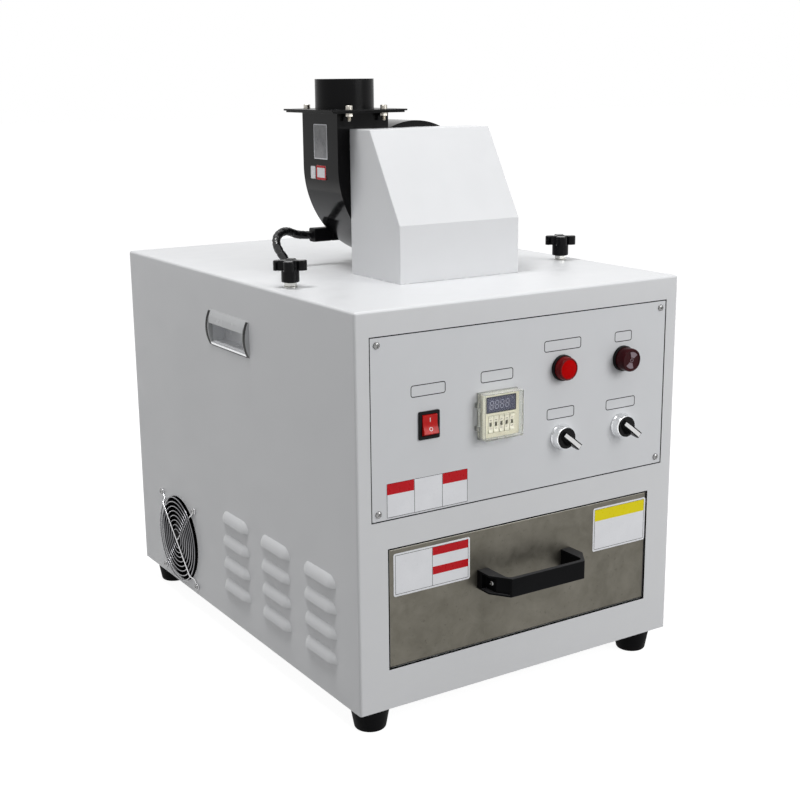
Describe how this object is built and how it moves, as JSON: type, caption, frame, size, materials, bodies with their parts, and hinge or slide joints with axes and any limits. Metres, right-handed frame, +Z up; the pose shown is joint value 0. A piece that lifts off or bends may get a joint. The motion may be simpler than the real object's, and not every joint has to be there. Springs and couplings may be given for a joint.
{
  "type": "uv curing box",
  "caption": "White sheet-metal curing cabinet with a front drawer, control panel, side fan, louvres, lamp carriage and an exhaust blower behind a hood.",
  "frame": {"origin": "middle of the footprint's bounding box, on the floor plane under the feet", "axes": "+Z up, -Y out of the drawer and control panel, +X to the right as seen from the front"},
  "size_m": [0.4524, 0.663, 0.696],
  "materials": {
    "white_paint": "fine powder coat",
    "black_rubber": "matt",
    "zinc_screw": "bright zinc",
    "switch_black": "satin",
    "switch_red": "gloss",
    "selector_black": "gloss",
    "lens_red": "gloss",
    "buzzer_red": "gloss",
    "sounder_grey": "satin",
    "block_grey": "satin",
    "timer_cream": "satin",
    "timer_glass": "gloss",
    "wheel_black": "satin",
    "key_cream": "satin",
    "clear_cover": "clear plastic",
    "stainless_front": "brushed",
    "stainless_tray": "brushed",
    "zinc_sheet": "zinc plated",
    "roller_nylon": "satin",
    "handle_black": "satin",
    "reflector_bright": "polished",
    "lamp_quartz": "clear quartz",
    "ceramic": "matt",
    "knob_black": "gloss",
    "fan_black": "satin",
    "guard_chrome": "chromed wire",
    "grip_grey": "gloss",
    "blower_black": "gloss paint",
    "impeller_zinc": "zinc plated",
    "motor_black": "black paint",
    "cable_black": "gloss sleeve",
    "bezel_silver": "satin plated",
    "ballast_grey": "painted",
    "capacitor_silver": "bright"
  },
  "bodies": {
    "cabinet": {"cabinet_shell": "white_paint", "base_plate": "white_paint", "rear_cover": "white_paint", "control_panel": "white_paint", "exhaust_hood": "white_paint", "rubber_feet": "black_rubber", "case_screws": "zinc_screw", "adapter_bolts": "zinc_screw", "lift_nuts": "zinc_screw", "rocker_housing": "switch_black", "selector_bezels": "bezel_silver", "beacon_bodies": "switch_black", "pilot_lens": "lens_red", "buzzer_cap": "buzzer_red", "sounder_disc": "sounder_grey", "contact_blocks": "block_grey", "timer_case": "timer_cream", "timer_face": "timer_glass", "digit_wheels": "wheel_black", "cover_frame": "clear_cover", "cabinet_rails": "zinc_sheet", "drawer_bay": "zinc_sheet", "chamber_liner": "zinc_sheet", "fan_frame": "fan_black", "fan_guard": "guard_chrome", "side_grips": "grip_grey", "blower_scroll": "blower_black", "duct_adapter": "blower_black", "blower_motor": "motor_black", "lead_connector": "cable_black", "blower_lead": "cable_black", "lead_grommet": "black_rubber", "ballast": "ballast_grey", "capacitor": "capacitor_silver", "terminal_block": "block_grey", "cable_gland": "switch_black"},
    "drawer": {"drawer_front": "stainless_front", "drawer_handle": "handle_black", "handle_screws": "zinc_screw", "drawer_tray": "stainless_tray", "drawer_rails": "zinc_sheet"},
    "drawer_wheels": {"drawer_rollers": "roller_nylon"},
    "cabinet_wheels": {"cabinet_rollers": "roller_nylon"},
    "main_rocker": {"rocker": "switch_red"},
    "fan_knob": {"fan_selector": "selector_black"},
    "uv_knob": {"uv_selector": "selector_black"},
    "cover": {"timer_cover": "clear_cover"},
    "lamp_carriage": {"reflector_housing": "reflector_bright", "uv_lamp": "lamp_quartz", "lamp_holders": "ceramic", "lift_studs": "zinc_screw"},
    "left_knob": {"left_star_knob": "knob_black"},
    "right_knob": {"right_star_knob": "knob_black"},
    "side_fan": {"fan_rotor": "fan_black"},
    "blower_wheel": {"impeller": "impeller_zinc"},
    "key_1": {"digit_key_1": "key_cream"},
    "key_2": {"digit_key_2": "key_cream"},
    "key_3": {"digit_key_3": "key_cream"},
    "key_4": {"digit_key_4": "key_cream"},
    "key_5": {"digit_key_5": "key_cream"}
  },
  "joints": [
    {"name": "drawer_slide", "type": "slide", "parent": "cabinet", "child": "drawer", "axis": [0, -1, 0], "range_m": [0, 0.26]},
    {"name": "drawer_roller_spin", "type": "hinge", "parent": "drawer", "child": "drawer_wheels", "pos_m": [0.00075, 0.0655, 0.108], "axis": [1, 0, 0], "continuous": true},
    {"name": "cabinet_roller_spin", "type": "hinge", "parent": "cabinet", "child": "cabinet_wheels", "pos_m": [0.00075, -0.2545, 0.1145], "axis": [1, 0, 0], "continuous": true},
    {"name": "rocker_tilt", "type": "hinge", "parent": "cabinet", "child": "main_rocker", "pos_m": [-0.12995, -0.2871, 0.3419], "axis": [1, 0, 0], "range_deg": [0, 20]},
    {"name": "fan_selector_turn", "type": "hinge", "parent": "cabinet", "child": "fan_knob", "pos_m": [0.04915, -0.2881, 0.3015], "axis": [0, 1, 0], "range_deg": [0, 90]},
    {"name": "uv_selector_turn", "type": "hinge", "parent": "cabinet", "child": "uv_knob", "pos_m": [0.13815, -0.2881, 0.3015], "axis": [0, 1, 0], "range_deg": [0, 90]},
    {"name": "timer_cover_swing", "type": "hinge", "parent": "cabinet", "child": "cover", "pos_m": [-0.06915, -0.2945, 0.3419], "axis": [0, 0, -1], "range_deg": [0, 110]},
    {"name": "digit_key_1_tilt", "type": "hinge", "parent": "cabinet", "child": "key_1", "pos_m": [-0.05565, -0.2957, 0.3324], "axis": [1, 0, 0], "range_deg": [-5, 5], "stiffness_Nm_per_rad": 0.002},
    {"name": "digit_key_2_tilt", "type": "hinge", "parent": "cabinet", "child": "key_2", "pos_m": [-0.04845, -0.2957, 0.3324], "axis": [1, 0, 0], "range_deg": [-5, 5], "stiffness_Nm_per_rad": 0.002},
    {"name": "digit_key_3_tilt", "type": "hinge", "parent": "cabinet", "child": "key_3", "pos_m": [-0.04125, -0.2957, 0.3324], "axis": [1, 0, 0], "range_deg": [-5, 5], "stiffness_Nm_per_rad": 0.002},
    {"name": "digit_key_4_tilt", "type": "hinge", "parent": "cabinet", "child": "key_4", "pos_m": [-0.03405, -0.2957, 0.3324], "axis": [1, 0, 0], "range_deg": [-5, 5], "stiffness_Nm_per_rad": 0.002},
    {"name": "digit_key_5_tilt", "type": "hinge", "parent": "cabinet", "child": "key_5", "pos_m": [-0.02685, -0.2957, 0.3324], "axis": [1, 0, 0], "range_deg": [-5, 5], "stiffness_Nm_per_rad": 0.002},
    {"name": "lamp_lift", "type": "slide", "parent": "cabinet", "child": "lamp_carriage", "axis": [0, 0, 1], "range_m": [0, 0.016]},
    {"name": "left_knob_turn", "type": "hinge", "parent": "cabinet", "child": "left_knob", "pos_m": [-0.19225, -0.1045, 0.4762], "axis": [0, 0, -1], "continuous": true},
    {"name": "right_knob_turn", "type": "hinge", "parent": "cabinet", "child": "right_knob", "pos_m": [0.19375, -0.1045, 0.4762], "axis": [0, 0, -1], "continuous": true},
    {"name": "fan_spin", "type": "hinge", "parent": "cabinet", "child": "side_fan", "pos_m": [-0.20025, 0.185, 0.094], "axis": [1, 0, 0], "continuous": true},
    {"name": "impeller_spin", "type": "hinge", "parent": "cabinet", "child": "blower_wheel", "pos_m": [0.01275, -0.0115, 0.57], "axis": [0, 1, 0], "continuous": true}
  ],
  "couplings": [
    {"joint": "drawer_roller_spin", "follows": "drawer_slide", "rad_per_m": 129.87},
    {"joint": "cabinet_roller_spin", "follows": "drawer_slide", "rad_per_m": 111.11},
    {"joint": "left_knob_turn", "follows": "lamp_lift", "rad_per_m": 5026.5},
    {"joint": "right_knob_turn", "follows": "lamp_lift", "rad_per_m": 5026.5}
  ]
}
